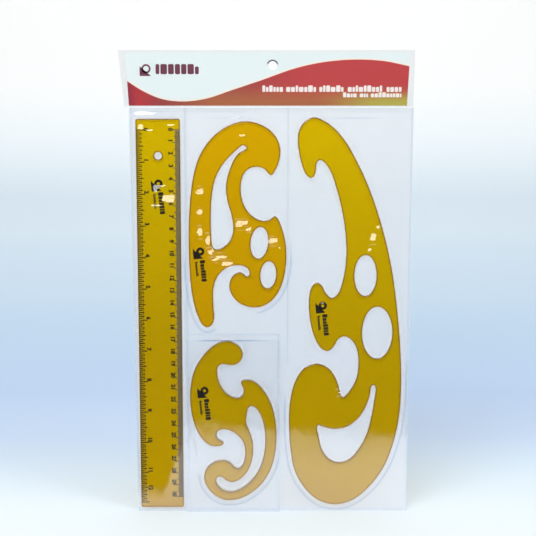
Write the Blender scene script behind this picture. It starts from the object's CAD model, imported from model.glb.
"""A french curve set in its hanging pouch: looks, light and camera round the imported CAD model.

Metres, in the CAD frame: the origin is the hang hole, the front faces -Y and +Z is up.
"""
import math

import bpy
import numpy as np
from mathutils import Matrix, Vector, geometry, noise


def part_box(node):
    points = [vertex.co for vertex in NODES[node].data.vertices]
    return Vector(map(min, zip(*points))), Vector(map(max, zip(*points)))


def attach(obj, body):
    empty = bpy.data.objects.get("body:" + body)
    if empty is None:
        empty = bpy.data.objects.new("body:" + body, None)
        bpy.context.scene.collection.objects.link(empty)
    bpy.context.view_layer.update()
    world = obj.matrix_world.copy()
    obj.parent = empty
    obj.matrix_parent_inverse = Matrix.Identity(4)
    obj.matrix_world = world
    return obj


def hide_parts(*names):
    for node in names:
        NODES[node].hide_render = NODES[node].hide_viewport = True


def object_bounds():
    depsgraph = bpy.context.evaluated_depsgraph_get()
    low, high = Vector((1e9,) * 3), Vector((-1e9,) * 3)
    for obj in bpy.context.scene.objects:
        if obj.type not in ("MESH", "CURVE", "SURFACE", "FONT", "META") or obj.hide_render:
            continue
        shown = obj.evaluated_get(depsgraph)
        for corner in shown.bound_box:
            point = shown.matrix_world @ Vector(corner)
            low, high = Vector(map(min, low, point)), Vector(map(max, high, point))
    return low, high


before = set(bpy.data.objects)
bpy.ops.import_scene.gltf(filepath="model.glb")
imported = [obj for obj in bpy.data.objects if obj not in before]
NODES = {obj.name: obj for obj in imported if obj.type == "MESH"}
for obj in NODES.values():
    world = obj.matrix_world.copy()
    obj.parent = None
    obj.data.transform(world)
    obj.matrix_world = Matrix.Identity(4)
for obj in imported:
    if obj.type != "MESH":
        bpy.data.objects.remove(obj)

CAD_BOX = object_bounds()
MM = 0.001
FOOT = CAD_BOX[0][2]
CAMERA_AT = (-0.0036, -0.8879, -0.0380)
LOOKS_DOWN = 7.8  # degrees below level
WINDOW_AT = (-0.22, -1.25, 0.46)
FILM_HALF = 0.08 * MM
INK_INSET = 0.00001  # prints stay this far inside their CAD nodes' faces
CURVES_AND_RULER = ("ruler_blade", "medium_curve", "large_curve")

# ------------------------------------------------------------------ small helpers


def link(name, mesh, body, *replaced, slot=None, smooth=True, sharp=None):
    """A mesh as a named piece that rides on a body and stands for some CAD nodes."""
    obj = bpy.data.objects.new(name, mesh)
    bpy.context.scene.collection.objects.link(obj)
    if smooth:
        mesh.polygons.foreach_set("use_smooth", [True] * len(mesh.polygons))
        if sharp:
            mesh.set_sharp_from_angle(angle=math.radians(sharp))
    if body:
        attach(obj, body)
    if replaced:
        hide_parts(*replaced)
    return obj


def mesh_of(name, verts, faces):
    mesh = bpy.data.meshes.new(name)
    mesh.from_pydata([tuple(v) for v in verts], [], [tuple(f) for f in faces])
    mesh.update()
    return mesh


def smoothstep(a, b, x):
    t = np.clip((x - a) / (b - a), 0.0, 1.0)
    return t * t * (3 - 2 * t)


def srgb(r, g, b):
    """An 8-bit sRGB colour as linear RGBA."""
    out = []
    for c in (r, g, b):
        c /= 255
        out.append(c / 12.92 if c <= 0.04045 else ((c + 0.055) / 1.055) ** 2.4)
    return (*out, 1.0)


# ------------------------------------------------------------------ outlines read from the frame


def outlines(node):
    """The closed lines round a flat upright node's back face, as (x, z) arrays, outer first."""
    mesh = NODES[node].data
    co = np.array([v.co for v in mesh.vertices])
    back = co[:, 1].max()
    keys = [tuple(k) for k in np.round(co * 1e6).astype(int)]
    edges = {}
    for face in mesh.polygons:
        ids = list(face.vertices)
        if any(co[i, 1] < back - 1e-5 for i in ids):
            continue
        for a, b in zip(ids, ids[1:] + ids[:1]):
            a, b = keys[a], keys[b]
            if (b, a) in edges:
                del edges[(b, a)]
            else:
                edges[(a, b)] = True
    following = {a: b for a, b in edges}
    loops = []
    while following:
        start = next(iter(following))
        loop, here = [], start
        while here in following:
            loop.append(here)
            here = following.pop(here)
        pts = np.array(loop, float)[:, [0, 2]] * 1e-6
        loops.append(pts)
    loops.sort(key=lambda p: -abs(area(p)))
    return [p if (area(p) > 0) == (i == 0) else p[::-1] for i, p in enumerate(loops)]


def area(p):
    q = np.roll(p, -1, 0)
    return 0.5 * np.sum(p[:, 0] * q[:, 1] - q[:, 0] * p[:, 1])


def resample(p, step):
    """A closed line with points about one step apart, on its own straight stretches."""
    out = []
    for a, b in zip(p, np.roll(p, -1, 0)):
        n = max(1, int(round(np.linalg.norm(b - a) / step)))
        out += [a + (b - a) * i / n for i in range(n)]
    return np.array(out)


def distance(points, loops):
    """Each point's distance to the nearest line, and how much that line's outward normal is up."""
    best = np.full(len(points), 1e9)
    up = np.zeros(len(points))
    for p in loops:
        q = np.roll(p, -1, 0)
        for a, b in zip(p, q):
            ab = b - a
            length = np.linalg.norm(ab)
            if length < 1e-9:
                continue
            t = np.clip(((points - a) @ ab) / length**2, 0, 1)
            d = np.linalg.norm(points - (a + t[:, None] * ab), axis=1)
            near = d < best
            best[near] = d[near]
            up[near] = -ab[0] / length
    return best, up


def inside(points, loops):
    hit = np.zeros(len(points), bool)
    for p in loops:
        q = np.roll(p, -1, 0)
        for (x0, z0), (x1, z1) in zip(p, q):
            if z0 == z1:
                continue
            cross = (z0 > points[:, 1]) != (z1 > points[:, 1])
            x = x0 + (points[:, 1] - z0) * (x1 - x0) / (z1 - z0)
            hit ^= cross & (points[:, 0] < x)
    return hit


def hull(points):
    """Convex hull of (x, z) points, anticlockwise."""
    pts = sorted({(round(x, 7), round(z, 7)) for x, z in points})

    def half(ps):
        out = []
        for p in ps:
            while len(out) > 1 and (out[-1][0] - out[-2][0]) * (p[1] - out[-2][1]) - (
                out[-1][1] - out[-2][1]
            ) * (p[0] - out[-2][0]) <= 0:
                out.pop()
            out.append(p)
        return out[:-1]

    return np.array(half(pts) + half(pts[::-1]))


# ------------------------------------------------------------------ materials


def material(name):
    mat = bpy.data.materials.new(name)
    mat.use_nodes = True
    tree = mat.node_tree
    tree.nodes.clear()
    return mat, tree


def add(tree, kind, **values):
    """A node with its properties and unlinked inputs set by name."""
    node = tree.nodes.new(kind)
    for key, value in values.items():
        key = key.replace("_", " ") if key not in node.bl_rna.properties else key
        if key in node.bl_rna.properties and key not in node.inputs:
            setattr(node, key, value)
        else:
            node.inputs[key].default_value = value
    return node


def math_node(tree, operation, a, b=None, clamp=False):
    """Math on node outputs or numbers; returns the output socket."""
    node = tree.nodes.new("ShaderNodeMath")
    node.operation, node.use_clamp = operation, clamp
    for i, v in enumerate((a, b)):
        if v is None:
            continue
        if isinstance(v, (int, float)):
            node.inputs[i].default_value = v
        else:
            tree.links.new(v, node.inputs[i])
    return node.outputs[0]


def weighted(tree, a, share_a, b, share_b):
    """a and b, each times its share, added up."""
    first = math_node(tree, "MULTIPLY", a, share_a)
    return math_node(tree, "ADD", first, math_node(tree, "MULTIPLY", b, share_b))


def scaled(tree, value, by, plus):
    """value times a number, plus a number."""
    return math_node(tree, "ADD", math_node(tree, "MULTIPLY", value, by), plus)


def mix_colour(tree, fac, a, b, blend="MIX"):
    node = tree.nodes.new("ShaderNodeMix")
    node.data_type, node.blend_type = "RGBA", blend
    for socket, v in ((node.inputs[0], fac), (node.inputs[6], a), (node.inputs[7], b)):
        if isinstance(v, (int, float, tuple)):
            socket.default_value = v
        else:
            tree.links.new(v, socket)
    return node.outputs[2]


def ramp(tree, fac, stops, easing="LINEAR"):
    node = tree.nodes.new("ShaderNodeValToRGB")
    node.color_ramp.interpolation = easing
    elements = node.color_ramp.elements
    while len(elements) < len(stops):
        elements.new(0.5)
    for e, (at, colour) in zip(elements, stops):
        e.position, e.color = at, colour
    tree.links.new(fac, node.inputs[0])
    return node.outputs[0]


def place(tree):
    """Object-space coordinates as (vector, x, y, z) sockets; every object sits at the origin."""
    tex = tree.nodes.new("ShaderNodeTexCoord")
    split = tree.nodes.new("ShaderNodeSeparateXYZ")
    tree.links.new(tex.outputs["Object"], split.inputs[0])
    return tex.outputs["Object"], split.outputs[0], split.outputs[1], split.outputs[2]


def attribute(tree, label):
    """A per-point number that the mesh carries."""
    node = tree.nodes.new("ShaderNodeAttribute")
    node.attribute_name = label
    return node.outputs["Fac"]


def noise_node(tree, vector, scale, detail=3.0, rough=0.5, stretch=(1, 1, 1)):
    mapping = tree.nodes.new("ShaderNodeMapping")
    mapping.inputs["Scale"].default_value = stretch
    tree.links.new(vector, mapping.inputs[0])
    node = tree.nodes.new("ShaderNodeTexNoise")
    node.inputs["Scale"].default_value = scale
    node.inputs["Detail"].default_value = detail
    node.inputs["Roughness"].default_value = rough
    tree.links.new(mapping.outputs[0], node.inputs["Vector"])
    return node.outputs[0]


def span(tree, value, a, b):
    """0 at a, 1 at b, smooth between."""
    node = tree.nodes.new("ShaderNodeMapRange")
    node.interpolation_type = "SMOOTHSTEP"
    node.inputs["From Min"].default_value, node.inputs["From Max"].default_value = a, b
    tree.links.new(value, node.inputs["Value"])
    return node.outputs[0]


def bump(tree, height, strength, depth, over=None):
    """A shading normal from a height, laid over an earlier one."""
    node = tree.nodes.new("ShaderNodeBump")
    if over is not None:
        tree.links.new(over, node.inputs["Normal"])
    node.inputs["Strength"].default_value = strength
    node.inputs["Distance"].default_value = depth
    tree.links.new(height, node.inputs["Height"])
    return node.outputs[0]


def sheen_share(tree, normal, least=0.04):
    """How much a smooth clear surface mirrors, the same from both of its sides (Schlick)."""
    facing = tree.nodes.new("ShaderNodeLayerWeight")
    facing.inputs["Blend"].default_value = 0.5
    tree.links.new(normal, facing.inputs["Normal"])
    steep = math_node(tree, "POWER", facing.outputs["Facing"], 5.0)
    return math_node(tree, "ADD", math_node(tree, "MULTIPLY", steep, 0.9 - least), least)


def mirror_rays(tree):
    """1 for rays that a glossy surface throws back, else 0; and the Light Path node."""
    path = tree.nodes.new("ShaderNodeLightPath")
    through = math_node(tree, "SUBTRACT", 1.0, path.outputs["Is Transmission Ray"])
    return math_node(tree, "MULTIPLY", path.outputs["Is Glossy Ray"], through), path


def mixed(tree, fac, a, b):
    node = tree.nodes.new("ShaderNodeMixShader")
    if isinstance(fac, (int, float)):
        node.inputs[0].default_value = fac
    else:
        tree.links.new(fac, node.inputs[0])
    tree.links.new(a, node.inputs[1])
    tree.links.new(b, node.inputs[2])
    return node.outputs[0]


def finish_material(tree, shader):
    out = tree.nodes.new("ShaderNodeOutputMaterial")
    tree.links.new(shader, out.inputs[0])


def film_material(name, tint, haze, haze_colour, gloss):
    """Clear soft glossy film.

    The mesh says where it is milky ('milk'), greyer ('crease') or dented ('dent', a height in
    metres), and where its haze mostly passes light on ('glow').
    """
    mat, t = material(name)
    vec = place(t)[0]
    fine = noise_node(t, vec, 420, 4, 0.55)
    wide = noise_node(t, vec, 60, 2, 0.5, (1, 1, 0.55))
    height = weighted(t, wide, 1.6, fine, 0.12)
    normal = bump(t, attribute(t, "dent"), 1.0, 1.0, over=bump(t, height, 0.35, 0.6 * MM))
    clear = t.nodes.new("ShaderNodeBsdfTransparent")
    crease = math_node(t, "MULTIPLY", attribute(t, "crease"), 0.5, clamp=True)
    t.links.new(mix_colour(t, crease, tint, (0.62, 0.72, 0.86, 1)), clear.inputs[0])
    shine = add(t, "ShaderNodeBsdfGlossy", Color=(1, 1, 1, 1))
    t.links.new(scaled(t, fine, 0.05, 0.02), shine.inputs["Roughness"])
    t.links.new(normal, shine.inputs["Normal"])
    white = add(t, "ShaderNodeBsdfDiffuse", Color=haze_colour)
    back = add(t, "ShaderNodeBsdfTranslucent", Color=haze_colour)
    cloud = noise_node(t, vec, 25, 3, 0.5)
    even = math_node(t, "MULTIPLY", scaled(t, cloud, 0.3, 0.85), haze)
    glow = attribute(t, "glow")
    even = math_node(t, "MULTIPLY", even, scaled(t, glow, -0.5, 1.0))
    milk = math_node(t, "MULTIPLY", attribute(t, "milk"), 0.5)
    amount = math_node(t, "ADD", even, milk, clamp=True)
    hazy = mixed(t, scaled(t, glow, 0.45, 0.5), white.outputs[0], back.outputs[0])
    body = mixed(t, amount, clear.outputs[0], hazy)
    shiny = math_node(t, "MULTIPLY", sheen_share(t, normal), gloss, clamp=True)
    finish_material(t, mixed(t, shiny, body, shine.outputs[0]))
    return mat


def amber_material(name, high, low):
    """Clear amber acrylic: tinted, see-through, browner along its edges, with a glossy face.

    high and low are the tints at the top and further down; the mesh carries each point's
    distance from the edge ('inset') and how much that edge faces up ('lean').
    """
    mat, t = material(name)
    vec, _, _, z = place(t)
    inset, lean = attribute(t, "inset"), attribute(t, "lean")
    flow = noise_node(t, vec, 14, 3, 0.55)
    tint = mix_colour(t, span(t, z, -0.04, -0.25), high, low)
    flow = math_node(t, "MULTIPLY", flow, 0.12)
    tint = mix_colour(t, flow, tint, (0.8, 0.66, 0.4, 1), "MULTIPLY")
    upward = scaled(t, lean, 0.25, 0.75)
    edge = math_node(t, "MULTIPLY", span(t, inset, 1.6 * MM, 0.3 * MM), upward)
    starts, ends = span(t, inset, 1.7 * MM, 2.1 * MM), span(t, inset, 2.7 * MM, 2.2 * MM)
    line = math_node(t, "MULTIPLY", starts, ends)
    line = math_node(t, "MULTIPLY", line, math_node(t, "MULTIPLY", span(t, lean, 0.0, 0.8), 0.35))
    tint = mix_colour(t, math_node(t, "MAXIMUM", edge, line), tint, RIM)
    clear = t.nodes.new("ShaderNodeBsdfTransparent")
    t.links.new(tint, clear.inputs[0])
    grain = noise_node(t, vec, 900, 2, 0.5)
    cast = noise_node(t, vec, 22, 2, 0.5)
    height = math_node(t, "ADD", cast, math_node(t, "MULTIPLY", grain, 0.02))
    normal = bump(t, height, 0.12, 0.6 * MM)
    front = add(t, "ShaderNodeBsdfDiffuse", Color=AMBER_OWN)
    through = add(t, "ShaderNodeBsdfTranslucent", Color=AMBER_OWN)
    milky = mixed(t, 0.5, front.outputs[0], through.outputs[0])
    body = mixed(t, AMBER_MILK, clear.outputs[0], milky)
    shine = add(t, "ShaderNodeBsdfGlossy", Color=(1, 1, 1, 1))
    t.links.new(scaled(t, grain, 0.03, 0.03), shine.inputs["Roughness"])
    t.links.new(normal, shine.inputs["Normal"])
    finish_material(t, mixed(t, sheen_share(t, normal, 0.055), body, shine.outputs[0]))
    return mat


def ink_material(name, colour, worn, rough=0.4):
    """Printed ink with a slightly uneven laydown."""
    mat, t = material(name)
    speck = noise_node(t, place(t)[0], 1500, 3, 0.6)
    p = add(t, "ShaderNodeBsdfPrincipled", Roughness=rough)
    t.links.new(mix_colour(t, speck, colour, worn), p.inputs["Base Color"])
    t.links.new(bump(t, speck, 0.2, 0.00005), p.inputs["Normal"])
    finish_material(t, p.outputs[0])
    return mat


def paint(obj, mat):
    obj.data.materials.clear()
    obj.data.materials.append(mat)


# ------------------------------------------------------------------ shapes


def smooth_line(p, step):
    """A closed line through the same points, rounded between them except at real corners."""
    out = []
    n = len(p)
    for i in range(n):
        p0, p1, p2, p3 = p[i - 1], p[i], p[(i + 1) % n], p[(i + 2) % n]
        length = np.linalg.norm(p2 - p1)
        count = max(1, int(round(length / step)))

        def sharp(a, b, c):
            u, v = b - a, c - b
            return u @ v < 0.80 * np.linalg.norm(u) * np.linalg.norm(v)

        m1 = (p2 - p1) if sharp(p0, p1, p2) else (p2 - p0) / 2
        m2 = (p2 - p1) if sharp(p1, p2, p3) else (p3 - p1) / 2
        m1 = m1 * min(1, length / max(np.linalg.norm(m1), 1e-9))
        m2 = m2 * min(1, length / max(np.linalg.norm(m2), 1e-9))
        for k in range(count):
            t = k / count
            out.append(
                (2 * t**3 - 3 * t**2 + 1) * p1
                + (t**3 - 2 * t**2 + t) * m1
                + (3 * t**2 - 2 * t**3) * p2
                + (t**3 - t**2) * m2
            )
    return np.array(out)


def slab(name, loops, rings, step, front, back):
    """A closed slab between two surfaces given as functions of (x, z, distance from the edge).

    rings are the distances inside the edge that get their own row of points, step is the
    spacing further in. Returns the mesh with each point's distance in 'inset' and the upward
    lean of the nearest edge in 'lean'.
    """
    boundary = np.concatenate(loops)
    edges, base = [], 0
    for p in loops:
        edges += [(base + i, base + (i + 1) % len(p)) for i in range(len(p))]
        base += len(p)
    extra = []
    for p in loops:
        tangent = np.roll(p, -1, 0) - np.roll(p, 1, 0)
        tangent /= np.linalg.norm(tangent, axis=1)[:, None]
        inward = np.stack([-tangent[:, 1], tangent[:, 0]], 1)
        for k, d in enumerate(rings):
            every = 1 if d < 1.5 * MM else 2
            extra.append(np.c_[p + inward * d, np.full(len(p), d)][k % every :: every])
    lo, hi = boundary.min(0), boundary.max(0)
    gx, gz = np.meshgrid(np.arange(lo[0], hi[0], step), np.arange(lo[1], hi[1], step * 0.87))
    gx[1::2] += step / 2
    grid = np.c_[gx.ravel(), gz.ravel(), np.zeros(gx.size)]
    points = np.concatenate(extra + [grid]) if extra else grid
    dist, _ = distance(points[:, :2], loops)
    last = rings[-1] if rings else 0
    keep = inside(points[:, :2], loops)
    near_ring = np.abs(dist - points[:, 2]) < 0.06 * MM + 0.06 * points[:, 2]
    keep &= np.where(points[:, 2] > 0, near_ring, dist > last + 0.45 * step)
    points = np.concatenate([boundary, points[keep][:, :2]])
    scale = 1000.0
    verts, _, faces, _, _, _ = geometry.delaunay_2d_cdt(
        [Vector(p * scale) for p in points], edges, [], 0, 1e-5
    )
    flat = np.array([tuple(v) for v in verts]) / scale
    faces = np.array([list(f) for f in faces])
    centre = flat[faces].mean(1)
    faces = faces[inside(centre, loops)]
    a, b, c = (flat[faces[:, k]] for k in range(3))
    turn = (b[:, 0] - a[:, 0]) * (c[:, 1] - a[:, 1]) - (b[:, 1] - a[:, 1]) * (c[:, 0] - a[:, 0])
    faces[turn < 0] = faces[turn < 0][:, ::-1]
    faces = faces[np.abs(turn) > 1e-13]
    dist, lean = distance(flat, loops)
    dist[dist < 1e-7] = 0
    n = len(flat)
    x, z = flat[:, 0], flat[:, 1]
    y0, y1 = front(x, z, dist), back(x, z, dist)
    co = np.concatenate([np.c_[x, y0, z], np.c_[x, y1, z]])
    count = {}
    for f in faces:
        for i, j in ((f[0], f[1]), (f[1], f[2]), (f[2], f[0])):
            count[(i, j)] = count.get((i, j), 0) + 1
    walls = [(j, i, i + n, j + n) for i, j in count if (j, i) not in count]
    all_faces = [tuple(f) for f in faces] + [tuple(f[::-1] + n) for f in faces] + walls
    used = sorted({i for f in all_faces for i in f})
    at = {v: k for k, v in enumerate(used)}
    mesh = mesh_of(name, co[used], [[at[i] for i in f] for f in all_faces])
    for label, values in (("inset", dist), ("lean", lean)):
        layer = mesh.attributes.new(label, "FLOAT", "POINT")
        layer.data.foreach_set("value", np.tile(values, 2)[used].astype(np.float32))
    return mesh


def plate(name, node, body, slot_name, mat, bevel=(1.0, 0.5)):
    """A sheet-plastic instrument: rounded bevel round the front, small radius at the back."""
    lo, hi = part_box(node)
    width, height = bevel[0] * MM, bevel[1] * MM
    small = 0.14 * MM
    loops = [smooth_line(p, 0.9 * MM) for p in outlines(node)]

    def front(x, z, d):
        t = np.clip(d / width, 0, 1)
        return lo[1] + height * (1 - np.sqrt(1 - (1 - t) ** 2) * 0.75 - 0.25 * t)

    def back(x, z, d):
        t = np.clip(d / small, 0, 1)
        return hi[1] - small * (1 - np.sqrt(1 - (1 - t) ** 2))

    rings = [r * MM for r in (0.07, 0.16, 0.32, 0.55, 0.8, 1.02, 1.4, 2.0, 2.7)]
    mesh = slab(name, loops, rings, 4 * MM, front, back)
    obj = link(name, mesh, body, node, slot=slot_name, sharp=50)
    paint(obj, mat)
    return obj


def solid_grid(name, x, z, front, back):
    """A closed sheet over a grid: x, z and the two faces' y as arrays of one shape."""
    rows, cols = x.shape
    n = rows * cols
    co = np.concatenate(
        [np.stack([x, front, z], -1).reshape(-1, 3), np.stack([x, back, z], -1).reshape(-1, 3)]
    )
    i = (np.arange(rows - 1)[:, None] * cols + np.arange(cols - 1)).ravel()
    quads = np.stack([i, i + 1, i + cols + 1, i + cols], 1)
    faces = [tuple(q) for q in quads.tolist()] + [tuple(q) for q in (quads[:, ::-1] + n).tolist()]
    ring = (
        list(range(cols))
        + [r * cols + cols - 1 for r in range(1, rows)]
        + [(rows - 1) * cols + k for k in range(cols - 2, -1, -1)]
        + [r * cols for r in range(rows - 2, 0, -1)]
    )
    faces += [(b, a, a + n, b + n) for a, b in zip(ring, ring[1:] + ring[:1])]
    return mesh_of(name, co, faces)


def corners(node):
    """A flat node's four outer corners as (x, z): foot left, foot right, top right, top left."""
    co = np.array([v.co for v in NODES[node].data.vertices])[:, [0, 2]]
    picks = ((-1, -1), (1, -1), (1, 1), (-1, 1))
    return [co[np.argmax(co @ np.array(p, float))] for p in picks]


def quad_grid(node, step):
    """Grid positions over a four-sided node, its foot edge first."""
    a, b, c, d = corners(node)
    cols = int(max(np.linalg.norm(b - a), np.linalg.norm(c - d)) / step) + 1
    rows = int(max(np.linalg.norm(d - a), np.linalg.norm(c - b)) / step) + 1
    s, t = np.meshgrid(np.linspace(0, 1, cols), np.linspace(0, 1, rows))
    pos = [
        (1 - s) * (1 - t) * a[k] + s * (1 - t) * b[k] + s * t * c[k] + (1 - s) * t * d[k]
        for k in (0, 1)
    ]
    return pos


def waves(x, z, seed, cell, depth):
    """Smooth seeded unevenness over (x, z), as an array."""
    flat = np.array(
        [
            noise.noise(Vector((a / cell[0], seed * 7.3, b / cell[1])))
            for a, b in zip(x.ravel().tolist(), z.ravel().tolist())
        ]
    )
    return depth * flat.reshape(x.shape)


def hull_distance(x, z, node):
    """Each point's distance outside a node's taut outline, and how much that outline faces up."""
    h = hull(np.concatenate(outlines(node)[:1]))
    pts = np.c_[x.ravel(), z.ravel()]
    d, up = distance(pts, [h])
    d[inside(pts, [h])] *= -1
    return d.reshape(x.shape), np.maximum(up, 0).reshape(x.shape)


def box_distance(x, z, x0, x1, z0, z1):
    dx = np.maximum(np.maximum(x0 - x, x - x1), 0)
    dz = np.maximum(np.maximum(z0 - z, z - z1), 0)
    return np.hypot(dx, dz)


def prism(points, y0, y1):
    """Vertices and faces of a thin convex outline (x, z) stretched from y0 to y1."""
    n = len(points)
    verts = [(p[0], y0, p[1]) for p in points] + [(p[0], y1, p[1]) for p in points]
    faces = [tuple(range(n)), tuple(range(2 * n - 1, n - 1, -1))]
    faces += [((i + 1) % n, i, i + n, (i + 1) % n + n) for i in range(n)]
    return verts, faces


class Print:
    """Collects thin printed shapes into one mesh, as deep as the CAD node that they stand for."""

    def __init__(self, lo, hi):
        self.y = (lo[1] + INK_INSET, hi[1] - INK_INSET)
        self.verts, self.faces, self.bold = [], [], set()

    def outline(self, points):
        if area(np.array(points)) < 0:
            points = points[::-1]
        v, f = prism(points, *self.y)
        base = len(self.verts)
        self.verts += v
        self.faces += [tuple(i + base for i in g) for g in f]

    def bar(self, x0, x1, z0, z1, corner=0.0):
        if corner <= 0:
            return self.outline([(x0, z0), (x1, z0), (x1, z1), (x0, z1)])
        corner = min(corner, (x1 - x0) / 2.01, (z1 - z0) / 2.01)
        pts = []
        for cx, cz, a0 in (
            (x1 - corner, z0 + corner, -90),
            (x1 - corner, z1 - corner, 0),
            (x0 + corner, z1 - corner, 90),
            (x0 + corner, z0 + corner, 180),
        ):
            for k in range(5):
                a = math.radians(a0 + k * 22.5)
                pts.append((cx + corner * math.cos(a), cz + corner * math.sin(a)))
        self.outline(pts)

    def ring(self, cx, cz, r0, r1, parts=40):
        base = len(self.verts)
        for k in range(parts):
            a = 2 * math.pi * k / parts
            for r in (r0, r1):
                for y in self.y:
                    self.verts.append((cx + r * math.cos(a), y, cz + r * math.sin(a)))
        for k in range(parts):
            a, b = base + 4 * k, base + 4 * ((k + 1) % parts)
            self.faces += [
                (a, a + 2, b + 2, b),
                (a + 1, b + 1, b + 3, a + 3),
                (a, b, b + 1, a + 1),
                (a + 2, a + 3, b + 3, b + 2),
            ]

    def number(self, text, x, z, size):
        """A numeral with its middle at (x, z), read downwards."""
        curve = bpy.data.curves.new("numeral", "FONT")
        curve.body, curve.size, curve.resolution_u = text, size, 3
        curve.align_x, curve.align_y = "CENTER", "CENTER"
        curve.extrude = (self.y[1] - self.y[0]) / 2
        curve.offset = size * 0.05
        obj = bpy.data.objects.new("numeral", curve)
        bpy.context.scene.collection.objects.link(obj)
        bpy.context.view_layer.update()
        got = obj.evaluated_get(bpy.context.evaluated_depsgraph_get()).to_mesh()
        base, mid = len(self.verts), (self.y[0] + self.y[1]) / 2
        for v in got.vertices:
            u, w, h = v.co
            self.verts.append((x + w, mid - h, z - u))
        self.bold.update(range(len(self.faces), len(self.faces) + len(got.polygons)))
        self.faces += [tuple(base + i for i in f.vertices) for f in got.polygons]
        bpy.data.objects.remove(obj)
        bpy.data.curves.remove(curve)

    def piece(self, name, body, mat, slot_name, *nodes):
        mesh = mesh_of(name, self.verts, self.faces)
        obj = link(name, mesh, body, *nodes, slot=slot_name, smooth=False)
        paint(obj, mat)
        if self.bold:
            obj.data.materials.append(black_ink)
            for k in self.bold:
                obj.data.polygons[k].material_index = 1
        return obj


# ------------------------------------------------------------------ camera

look = bpy.data.objects.new("camera", bpy.data.cameras.new("camera"))
bpy.context.scene.collection.objects.link(look)
look.location = CAMERA_AT
look.rotation_euler = (math.radians(90 - LOOKS_DOWN), 0, 0)
look.data.sensor_width, look.data.lens = 36, 75.16
look.data.clip_start, look.data.clip_end = 0.05, 30
bpy.context.scene.camera = look
bpy.context.scene.view_settings.view_transform = "Standard"
bpy.context.scene.cycles.transparent_max_bounces = 32

# ------------------------------------------------------------------ stage, light


def backdrop():
    """Floor that turns up into a wall well behind, one smooth sheet."""
    bend, wall, top = 0.7, 2.9, 3.4
    line = [(y, FOOT) for y in (-14.0, -10.0, -7.0, -5.0)]
    line += [(-4.0 + 0.05 * k, FOOT) for k in range(int((wall - bend + 4.0) / 0.05))]
    for k in range(25):
        a = math.pi / 2 * k / 24
        line.append((wall - bend + bend * math.sin(a), FOOT + bend * (1 - math.cos(a))))
    line += [(wall, FOOT + bend + (top - bend) * k / 10) for k in range(1, 11)]
    side = np.linspace(-1, 1, 33)
    xs = 10 * side**3 + 4 * side
    cols = len(xs)
    verts = [(x, y, z) for y, z in line for x in xs]
    faces = [
        (r * cols + k, r * cols + k + 1, (r + 1) * cols + k + 1, (r + 1) * cols + k)
        for r in range(len(line) - 1)
        for k in range(cols - 1)
    ]
    obj = link("backdrop", mesh_of("backdrop", verts, faces), None)
    mat, t = material("paper_sweep")
    vec, x, y, z = place(t)
    run = math_node(t, "ADD", y, math_node(t, "SUBTRACT", z, FOOT))
    soft = noise_node(t, vec, 1.3, 2, 0.5)
    soft = math_node(t, "MULTIPLY", math_node(t, "SUBTRACT", soft, 0.5), 0.06)
    run = math_node(t, "ADD", run, soft)
    first, length = -0.1, 4.1
    share = math_node(t, "DIVIDE", math_node(t, "SUBTRACT", run, first), length, clamp=True)

    def stop(at, *rgb):
        return ((at - first) / length, srgb(*rgb))

    colour = ramp(
        t,
        share,
        [
            stop(-0.05, 222, 232, 239),
            stop(0.02, 219, 231, 238),
            stop(0.11, 208, 225, 239),
            stop(0.22, 193, 213, 238),
            stop(0.40, 181, 203, 232),
            stop(0.70, 182, 206, 230),
            stop(1.1, 190, 211, 230),
            stop(1.8, 196, 214, 229),
            stop(2.6, 208, 223, 234),
            stop(3.0, 236, 243, 247),
            stop(3.25, 247, 249, 249),
            stop(3.6, 252, 252, 251),
        ],
    )
    away = math_node(t, "MAXIMUM", math_node(t, "ABSOLUTE", x), math_node(t, "MULTIPLY", y, -1.0))
    colour = mix_colour(t, span(t, away, 1.3, 4.5), colour, (0.97, 0.985, 1.0, 1))
    fine = noise_node(t, vec, 60, 4, 0.6)
    faint = math_node(t, "MULTIPLY", fine, 0.03)
    colour = mix_colour(t, faint, colour, (0.6, 0.66, 0.72, 1), "MULTIPLY")
    paper = add(t, "ShaderNodeBsdfDiffuse", Roughness=0.6)
    t.links.new(colour, paper.inputs["Color"])
    t.links.new(bump(t, fine, 0.05, 0.001), paper.inputs["Normal"])
    # Mirror rays find the floor lit only close to the pouch, as under one window, and in front
    # of the ruler only very close.
    dark = add(t, "ShaderNodeBsdfDiffuse", Color=(0.003, 0.003, 0.003, 1))
    mirror, _ = mirror_rays(t)
    reach = math_node(t, "SUBTRACT", y, math_node(t, "MULTIPLY", x, 0.22))
    aside = math_node(t, "MULTIPLY", span(t, x, -0.086, -0.094), 0.22)
    close = span(t, math_node(t, "SUBTRACT", reach, aside), -0.265, -0.215)
    lit = add(t, "ShaderNodeEmission", Color=(0.79, 0.84, 1.0, 1), Strength=1.35)
    nearer = math_node(t, "ADD", math_node(t, "MULTIPLY", span(t, y, -0.24, -0.09), 0.35), 0.65)
    mirrored = mixed(t, math_node(t, "MULTIPLY", close, nearer), dark.outputs[0], lit.outputs[0])
    finish_material(t, mixed(t, mirror, paper.outputs[0], mirrored))
    paint(obj, mat)


def sky():
    """Pale surroundings that light everything evenly but stay dark in mirror reflections."""
    world = bpy.data.worlds.new("studio")
    bpy.context.scene.world = world
    world.use_nodes = True
    t = world.node_tree
    t.nodes.clear()
    mirror, path = mirror_rays(t)
    seen = add(t, "ShaderNodeBackground", Color=(0.84, 0.835, 0.83, 1), Strength=1.0)
    light = add(t, "ShaderNodeBackground", Color=(1.0, 0.965, 0.93, 1), Strength=0.85)
    pale = mixed(t, path.outputs["Is Diffuse Ray"], seen.outputs[0], light.outputs[0])
    dim = add(t, "ShaderNodeBackground", Color=(0.8, 0.9, 1.0, 1), Strength=0.003)
    out = t.nodes.new("ShaderNodeOutputWorld")
    t.links.new(mixed(t, mirror, pale, dim.outputs[0]), out.inputs[0])


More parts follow.
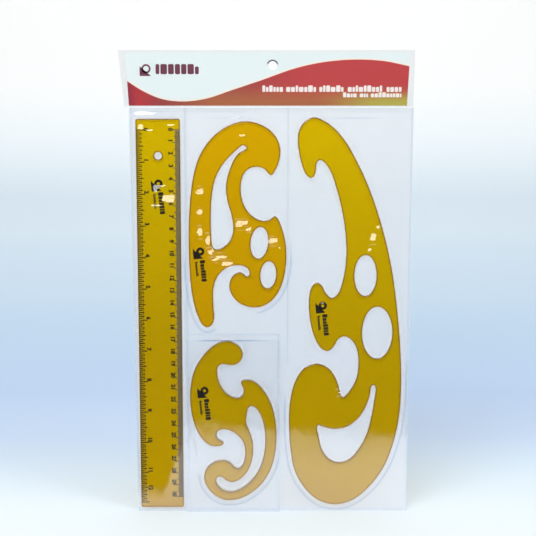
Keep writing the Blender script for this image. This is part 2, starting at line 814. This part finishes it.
def lamp(name, at, towards, size, power, colour=(1, 1, 1)):
    data = bpy.data.lights.new(name, "AREA")
    data.shape, data.size, data.size_y = "RECTANGLE", size[0], size[1]
    data.energy, data.color = power, colour
    obj = bpy.data.objects.new(name, data)
    bpy.context.scene.collection.objects.link(obj)
    obj.location = at
    obj.rotation_euler = (Vector(towards) - Vector(at)).to_track_quat("-Z", "Y").to_euler()
    obj.visible_camera = False
    return obj


backdrop()
sky()
lamp("key", (-0.7, -1.1, 1.15), (0, 0, -0.15), (0.7, 0.5), 9.0, (1.0, 0.97, 0.93))
lamp("fill", (1.0, -0.8, 0.9), (0, 0, -0.2), (0.5, 0.7), 4.7, (1.0, 0.97, 0.94))
lamp("rear", (0.0, 1.3, 1.6), (0, 2.9, 0.2), (2.4, 0.5), 14.5, (1.0, 0.96, 0.93))
lamp("window", WINDOW_AT, (0, 0, -0.15), (0.42, 0.34), 2.6, (1.0, 0.98, 0.95))

# ------------------------------------------------------------------ the materials

RIM = (0.44, 0.31, 0.14, 1)
AMBER_OWN = (0.95, 0.55, 0.012, 1)
AMBER_MILK = 0.20
amber = amber_material("amber_acrylic", (0.96, 0.83, 0.02, 1), (0.86, 0.72, 0.02, 1))
amber_warm = amber_material("amber_acrylic_warm", (0.985, 0.77, 0.02, 1), (0.94, 0.70, 0.02, 1))
amber_deep = amber_material("amber_ruler", (0.95, 0.83, 0.02, 1), (0.85, 0.70, 0.02, 1))
film = film_material("clear_film", (0.995, 0.997, 1.0, 1), 0.0, (0.88, 0.94, 1.0, 1), 1.0)
film_back = film_material("clear_film_back", (0.99, 0.995, 1.0, 1), 0.30, (0.97, 0.98, 1.0, 1), 0.5)
seam_film = film_material("welded_film", (0.98, 0.99, 1.0, 1), 0.05, (0.85, 0.92, 0.98, 1), 0.7)
black_ink = ink_material("black_ink", (0.004, 0.003, 0.002, 1), (0.02, 0.014, 0.008, 1), 0.6)
maroon_ink = ink_material("maroon_ink", (0.16, 0.028, 0.06, 1), (0.20, 0.05, 0.09, 1))
scale_ink = ink_material("scale_ink", (0.05, 0.055, 0.07, 1), (0.09, 0.09, 0.10, 1), 0.6)
white_ink = ink_material("white_ink", (0.93, 0.86, 0.84, 1), (0.85, 0.78, 0.75, 1))
cream_ink = ink_material("cream_ink", (0.95, 0.86, 0.77, 1), (0.88, 0.77, 0.66, 1))


def card_material():
    """Coated card, pale blue-grey with fine fibre."""
    mat, t = material("coated_card")
    vec, x, _, z = place(t)
    fibre = noise_node(t, vec, 700, 5, 0.65, (1, 1, 2.2))
    wide = noise_node(t, vec, 18, 2, 0.5)
    colour = mix_colour(t, wide, (0.76, 0.85, 0.865, 1), (0.82, 0.895, 0.895, 1))
    faint = math_node(t, "MULTIPLY", fibre, 0.12)
    colour = mix_colour(t, faint, colour, (0.62, 0.72, 0.80, 1), "MULTIPLY")
    # The upper lip of the punched hole is in shade.
    squares = math_node(t, "ADD", math_node(t, "MULTIPLY", x, x), math_node(t, "MULTIPLY", z, z))
    away = math_node(t, "SQRT", squares)
    lip = math_node(t, "MULTIPLY", span(t, away, 0.0050, 0.0042), span(t, z, 0.0002, 0.0022))
    colour = mix_colour(t, lip, colour, (0.10, 0.10, 0.12, 1))
    p = add(t, "ShaderNodeBsdfPrincipled", Roughness=0.35)
    t.links.new(colour, p.inputs["Base Color"])
    t.links.new(bump(t, fibre, 0.12, 0.00008), p.inputs["Normal"])
    finish_material(t, p.outputs[0])
    return mat


def wave_material():
    """Printed field: crimson at the left, red, orange-brown low down, olive at the far corner."""
    mat, t = material("wave_ink")
    vec, x, _, z = place(t)
    colour = mix_colour(t, span(t, x, -0.117, -0.104), srgb(144, 46, 69), srgb(188, 55, 63))
    colour = mix_colour(t, span(t, x, -0.106, -0.085), colour, srgb(161, 66, 69))
    colour = mix_colour(t, span(t, x, -0.05, 0.03), colour, srgb(198, 70, 73))
    low = math_node(t, "MULTIPLY", span(t, z, -0.012, -0.029), span(t, x, -0.095, -0.04))
    colour = mix_colour(t, low, colour, srgb(180, 107, 70))
    corner = math_node(t, "MULTIPLY", span(t, z, -0.018, -0.029), span(t, x, 0.030, 0.090))
    colour = mix_colour(t, corner, colour, srgb(187, 176, 82))
    dots = noise_node(t, vec, 1800, 2, 0.5)
    faint = math_node(t, "MULTIPLY", dots, 0.14)
    colour = mix_colour(t, faint, colour, (0.55, 0.5, 0.5, 1), "MULTIPLY")
    p = add(t, "ShaderNodeBsdfPrincipled", Roughness=0.32)
    t.links.new(colour, p.inputs["Base Color"])
    t.links.new(bump(t, dots, 0.12, 0.00004), p.inputs["Normal"])
    finish_material(t, p.outputs[0])
    return mat


for node, mat in (
    ("header_card", card_material()),
    ("header_wave", wave_material()),
    ("header_wave_line", cream_ink),
):
    paint(NODES[node], mat)
for node in (
    "left_seam", "right_seam", "foot_seam", "ruler_seam", "upper_seam", "lower_seam",
    "rest_seam", "pocket_left_seam", "pocket_right_seam", "pocket_foot_seam",
):
    paint(NODES[node], seam_film)

# ------------------------------------------------------------------ instruments

plate("large_curve_plate", "large_curve", "large", "curve_plastic", amber)
plate("medium_curve_plate", "medium_curve", "medium", "curve_plastic", amber_warm)
plate("small_curve_plate", "small_curve", "small", "curve_plastic", amber)
plate("ruler_plate", "ruler_blade", "ruler", "ruler_plastic", amber_deep, (0.7, 0.35))


def greeked_word(ink, x0, x1, z0, z1, seed, turned=False):
    """A row of upright blocks of uneven width: the look of a printed word, with no letters."""
    rng = np.random.default_rng(seed)
    size = (x1 - x0) if turned else (z1 - z0)
    at, stop = 0.0, (z1 - z0) if turned else (x1 - x0)
    while at < stop - 0.3 * size:
        wide = min(size * rng.uniform(0.34, 0.74), stop - at)
        high = rng.choice([1.0, 0.76, 0.76])
        if turned:
            ink.bar(x0, x0 + size * high, z1 - at - wide, z1 - at, size * 0.14)
        else:
            ink.bar(x0 + at, x0 + at + wide, z0, z0 + size * high, size * 0.14)
        at += wide + size * 0.11


def maker_mark(name, node, body):
    """Generic stand-in for a printed mark: set-square and ring, greeked word, small line."""
    lo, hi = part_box(node)
    ink = Print(lo, hi)
    x, top = (lo[0] + hi[0]) / 2, hi[2] + 1.5 * MM
    m = MM
    ink.ring(x + 0.9 * m, top - 3.6 * m, 1.3 * m, 3.3 * m)
    left, foot = x - 5.0 * m, top - 9.4 * m
    ink.outline([(left, foot), (x + 2.6 * m, foot), (left, top - 0.8 * m)])
    greeked_word(ink, x - 0.2 * m, x + 3.9 * m, top - 28.0 * m, top - 10.6 * m, 5, True)
    greeked_word(ink, x - 4.2 * m, x - 2.0 * m, top - 24.0 * m, top - 11.6 * m, 8, True)
    cos, sin = math.cos(math.radians(5)), math.sin(math.radians(5))
    ink.verts = [
        (x + (a - x) * cos - (c - top) * sin - 1.2 * m, b, top + (a - x) * sin + (c - top) * cos)
        for a, b, c in ink.verts
    ]
    ink.piece(name, body, black_ink, "black_ink", node)


for short in ("large", "medium", "small"):
    maker_mark(f"{short}_curve_print", f"{short}_curve_mark", short)
maker_mark("ruler_print", "ruler_mark", "ruler")


def scales():
    """Millimetre ticks and numerals on the right edge, sixteenths of an inch on the left."""
    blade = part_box("ruler_blade")
    for node, side, name in (
        ("ruler_cm_scale", 1, "ruler_cm_print"),
        ("ruler_inch_scale", -1, "ruler_inch_print"),
    ):
        lo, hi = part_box(node)
        ink = Print(lo, hi)
        edge = blade[1][0] - 0.3 * MM if side > 0 else blade[0][0] + 0.3 * MM
        top = hi[2] - 0.1 * MM
        if side > 0:
            step, count, thick = 1 * MM, 300, 0.36 * MM
            long_ticks = ((10, 5.6), (5, 4.6), (1, 3.6))
            numerals = [(k * 10 * MM, str(k)) for k in range(31)]
        else:
            step, count, thick = 25.4 / 16 * MM, 192, 0.40 * MM
            long_ticks = ((16, 6.6), (8, 5.6), (2, 4.6), (1, 3.0))
            numerals = [(k * 25.4 * MM, str(k)) for k in range(13)]
        for k in range(count + 1):
            z = top - k * step
            long = next(reach for every, reach in long_ticks if k % every == 0) * MM
            a, b = (edge - long, edge) if side > 0 else (edge, edge + long)
            ink.bar(a, b, z - thick, z + thick)
        if side < 0:
            ink.bar(edge + 3.7 * MM, edge + 3.95 * MM, top - count * step, top)
        for down, text in numerals:
            x = edge - 7.4 * MM if side > 0 else edge + 7.6 * MM
            z = top - down + (1.7 * MM if len(text) == 1 else 2.2 * MM)
            ink.number(text, x, max(min(z, hi[2] + 0.3 * MM), lo[2]), 4.6 * MM)
        ink.piece(name, "ruler", scale_ink if side > 0 else black_ink, "black_ink", node)


scales()

# ------------------------------------------------------------------ header print


def header_print():
    """The header's mark with its greeked word, and the caption's two greeked lines."""
    lo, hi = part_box("header_mark")
    ink = Print(lo, hi)
    h = hi[2] - lo[2]
    cx, cz = lo[0] + 0.55 * h, (lo[2] + hi[2]) / 2
    ink.ring(cx + 0.05 * h, cz + 0.06 * h, 0.22 * h, 0.36 * h)
    left, foot = cx - 0.45 * h, cz - 0.5 * h
    ink.outline([(left, foot), (cx + 0.45 * h, foot), (left, cz + 0.25 * h)])
    greeked_word(ink, lo[0] + 1.35 * h, hi[0], cz - 0.36 * h, cz + 0.42 * h, 3)
    ink.piece("header_mark_print", "header", maroon_ink, "maroon_ink", "header_mark")
    lo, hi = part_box("header_caption")
    ink = Print(lo, hi)
    size, top = 5.0 * MM, hi[2] + 0.5 * MM
    x, wide = lo[0], hi[0] - lo[0]
    for k, part in enumerate((0.148, 0.215, 0.182, 0.256, 0.107)):
        greeked_word(ink, x, x + part * wide, top - size, top, 20 + k)
        x += part * wide + 0.023 * wide
    size, foot = 3.9 * MM, lo[2] - 0.5 * MM
    x = hi[0] - 0.42 * wide
    for k, part in enumerate((0.10, 0.06, 0.22)):
        greeked_word(ink, x, x + part * wide, foot, foot + size, 40 + k)
        x += part * wide + 0.02 * wide
    ink.piece("header_caption_print", "header", white_ink, "white_ink", "header_caption")


header_print()

# ------------------------------------------------------------------ film


def declare(node):
    """Tells the frame the sheet's flat size, measured over its CAD node's corners."""
    a, b, c, d = corners(node)
    wide = max(np.linalg.norm(b - a), np.linalg.norm(c - d))
    high = max(np.linalg.norm(d - a), np.linalg.norm(c - b))
    cut = abs(area(np.array([a, b, c, d])))
    cut = min(cut, wide * high)


def gauss(v, width):
    return np.exp(-((v / width) ** 2))


def paint_layer(obj, label, values, inner=1):
    """A per-point number on both skins of a sheet; inner scales it on the second skin."""
    layer = obj.data.attributes.new(label, "FLOAT", "POINT")
    both = np.concatenate([values.ravel(), inner * values.ravel()])
    layer.data.foreach_set("value", both.astype(np.float32))


def pouch_sheet(name, node, x, z, y, mat):
    """A film of the pouch over a grid, with its middle at y."""
    mesh = solid_grid(name, x, z, y - FILM_HALF, y + FILM_HALF)
    obj = link(name, mesh, "pouch", node, slot="film", sharp=60)
    paint(obj, mat)
    declare(node)
    return obj


def taut(x, z, nodes):
    """How far things lying under a sheet lift it (0 to 1), and the line where it comes down."""
    rise, fold = np.zeros_like(x), np.zeros_like(x)
    for node in nodes:
        d, up = hull_distance(x, z, node)
        lift = 1 - smoothstep(0.3 * MM, (3.4 + 4.4 * up) * MM, d)
        lo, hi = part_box(node)
        true, _ = distance(np.c_[x.ravel(), z.ravel()], outlines(node)[:1])
        close = 1 - smoothstep(0.3 * MM, 1.6 * MM, true.reshape(x.shape) - d)
        low = smoothstep(0.45, 0.3, (z - lo[2]) / (hi[2] - lo[2]))
        line = gauss(d - 3.7 * MM, 0.55 * MM) * close * (0.12 + 0.88 * low)
        fold = np.maximum(fold * (lift < 0.5), line * (rise < 0.5))
        rise = np.maximum(rise, lift)
    return rise, fold


def imprint(x, z, nodes):
    """Milky line pressed in just outside each outline, and 1 where an instrument lies."""
    pts = np.c_[x.ravel(), z.ravel()]
    out, under = np.full(len(pts), 0.36), np.zeros(len(pts))
    for node in nodes:
        loops = outlines(node)
        d, _ = distance(pts, loops)
        within = inside(pts, loops)
        out = np.where(within, 0.0, np.maximum(out, 1 - smoothstep(0.6 * MM, 3.0 * MM, d)))
        under = np.where(within, smoothstep(0.0, 0.8 * MM, d), under)
    return out.reshape(x.shape), under.reshape(x.shape)


SMALL_STROKE = 0.14  # how far the small curve slides up

# Small dents and puckers in the front sheet that catch the window: x, z, half width and half
# height in mm.
PUCKERS = (
    (80.5, -134, 3.2, 5.6), (84.0, -127.0, 2.2, 3.0), (77.5, -145.0, 2.0, 2.8),
    (-24.5, -124.5, 5.4, 3.8), (-19.5, -128.5, 3.2, 2.4), (0.5, -138.0, 4.2, 3.4),
    (4.5, -143.5, 2.6, 2.6), (-43.0, -151.5, 6.4, 3.4), (-36.5, -156.0, 5.0, 2.4),
    (-49.5, -146.0, 2.8, 4.4), (-51.5, -137.5, 2.2, 5.2), (-58.0, -131.0, 2.6, 4.4),
    (-57.5, -98.5, 3.2, 3.6), (-58.0, -115.0, 2.6, 3.0), (-24.0, -54.0, 3.2, 2.0),
    (40.0, -188.0, 1.9, 2.0), (54.0, -262.0, 1.9, 2.0),
    (-89.5, -95.5, 5.6, 5.6), (-83.0, -103.5, 5.8, 5.8), (-92.0, -109.5, 5.0, 2.0),
    (-104.0, -47.5, 2.4, 3.4), (-97.0, -50.0, 3.0, 1.8), (-80.0, -46.0, 3.4, 1.8),
)


def pouch_front():
    """Front sheet: lifted level by the instruments, held down by the welds, puckered, dented."""
    node = "pouch_front_sheet"
    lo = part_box(node)[0]
    x, z = quad_grid(node, 1.0 * MM)
    rise, fold = taut(x, z, CURVES_AND_RULER)
    (left, _, _), (right, _, mouth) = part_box("pocket_sheet")
    pocket = 1 - smoothstep(0, 2.5 * MM, box_distance(x, z, left, right, lo[2], mouth))
    rise, fold = rise * (1 - pocket), fold * (1 - pocket)
    edge = np.minimum(np.minimum(x - x.min(1)[:, None], x.max(1)[:, None] - x), z - lo[2])
    slack = smoothstep(0, 8 * MM, edge) * (1 - pocket)
    crease = waves(x, z, 1, (0.030, 0.055), 0.20 * MM) + waves(x, z, 2, (0.012, 0.030), 0.07 * MM)
    band = gauss(z + 38.5 * MM, 2.2 * MM) * waves(x, z, 3, (0.030, 0.5), 0.25 * MM)
    for down, wide, seed in ((35.6, 0.6, 31), (41.0, 0.5, 32)):
        line = gauss(z + (down + 0.6 * waves(x, z, seed, (0.05, 1.0), 1.0)) * MM, wide * MM)
        faint = np.clip(0.5 + waves(x, z, seed + 5, (0.04, 1.0), 1.4), 0, 1)
        fold = np.maximum(fold, 0.5 * line * faint)
    y = 0.50 * MM - 0.58 * MM * rise + np.clip((crease + band) * slack, -0.35 * MM, 0.25 * MM)
    y = np.minimum(y, np.where(pocket > 0.5, 0.5, 0.62) * MM)
    y = np.where(pocket > 0.5, np.maximum(y, 0.42 * MM), y)
    # The small curve slides up in front of the sheet, which stays low there: its dents are
    # given to the shading only.
    (x0, _, z0), (x1, _, z1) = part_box("small_curve")
    reach = z1 + SMALL_STROKE
    passing = 1 - smoothstep(0, 4 * MM, box_distance(x, z, x0, x1, z0, reach))
    y += passing * (0.48 * MM - y)
    ripple = waves(x, z, 41, (0.0032, 0.0045), 0.05 * MM)
    dent = np.zeros_like(x)
    for cx, cz, wide, high in np.array(PUCKERS) * MM:
        across, down = x - cx, z - cz
        spot = np.exp(-((across / (1.15 * wide)) ** 6) - (down / (1.15 * high)) ** 6)
        # Each pucker is a facet turned half way between the window and the camera.
        facet = half_way(cx, 0) * across + half_way(cz, 2) * down + ripple
        if x0 < cx < x1 and cz < reach:
            dent = dent * (1 - spot) - facet * spot
        else:
            level = y.flat[np.argmin(np.hypot(across, down))]
            y = y * (1 - spot) + (level + facet) * spot
    y = np.minimum(y, 0.74 * MM)
    y = np.where(passing > 0.5, np.maximum(y, 0.22 * MM), y)
    obj = pouch_sheet("pouch_film_front", node, x, z, y, film)
    paint_layer(obj, "crease", fold)
    paint_layer(obj, "dent", dent, -1)
    paint_layer(obj, "milk", 0.25 * gauss(edge, 0.7 * MM))


def half_way(at, axis):
    """The slope that mirrors the window to the camera, at a place along x (0) or z (2)."""
    window = math.atan2(WINDOW_AT[axis] - at, -WINDOW_AT[1])
    camera = math.atan2(CAMERA_AT[axis] - at, -CAMERA_AT[1])
    return math.tan(0.5 * (window + camera))


def pouch_back():
    node = "pouch_back_sheet"
    x, z = quad_grid(node, 1.1 * MM)
    y = 3.10 * MM + waves(x, z, 6, (0.05, 0.07), 0.05 * MM)
    obj = pouch_sheet("pouch_film_back", node, x, z, y, film_back)
    milk, under = imprint(x, z, (*CURVES_AND_RULER, "small_curve"))
    paint_layer(obj, "milk", 0.75 * milk)
    paint_layer(obj, "glow", under)


def pocket_front():
    """The small pocket's sheet, with a dark line along its mouth."""
    node = "pocket_sheet"
    lo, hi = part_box(node)
    x, z = quad_grid(node, 1.0 * MM)
    rise, fold = taut(x, z, ("small_curve",))
    along = (x - lo[0]) / (hi[0] - lo[0])
    lip = gauss(z - hi[2], 3.5 * MM) * np.sin(np.pi * np.clip(along, 0, 1))
    edge = np.minimum(np.minimum(x - lo[0], hi[0] - x), z - lo[2])
    crease = np.abs(waves(x, z, 11, (0.020, 0.030), 0.12 * MM)) * smoothstep(0, 8 * MM, edge)
    y = -1.78 * MM - 0.18 * MM * rise - 0.14 * MM * lip - crease
    obj = pouch_sheet("pocket_film", node, x, z, y, film)
    mouth = gauss(z - hi[2] + 0.2 * MM, 0.8 * MM)
    mouth *= smoothstep(0.05, 0.25, along) * smoothstep(1.0, 0.55, along)
    paint_layer(obj, "crease", fold + 2.0 * mouth)
    _, under = imprint(x, z, ("small_curve",))
    paint_layer(obj, "milk", 0.12 * (1 - under) + 0.15 * gauss(edge, 0.7 * MM))


def header_films():
    """The two films over the header card, standing slightly off it in soft waves."""
    for node, name, seed, out in (
        ("header_front_film", "header_film_front", 21, -1),
        ("header_back_film", "header_film_back", 22, 1),
    ):
        lo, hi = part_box(node)
        mid = (lo[1] + hi[1]) / 2

        def middle(x, z, d):
            calm = smoothstep(0, 6 * MM, d) * smoothstep(0, 6 * MM, z - lo[2])
            off = 0.10 * MM + np.abs(waves(x, z, seed, (0.035, 0.018), 0.35 * MM))
            return mid + out * calm * off

        mesh = slab(
            name,
            [resample(p, 1.2 * MM) for p in outlines(node)],
            [0.5 * MM],
            2.0 * MM,
            lambda x, z, d: middle(x, z, d) - FILM_HALF,
            lambda x, z, d: middle(x, z, d) + FILM_HALF,
        )
        obj = link(name, mesh, "header", node, slot="film", sharp=60)
        paint(obj, film)
        declare(node)


pouch_front()
pouch_back()
pocket_front()
header_films()
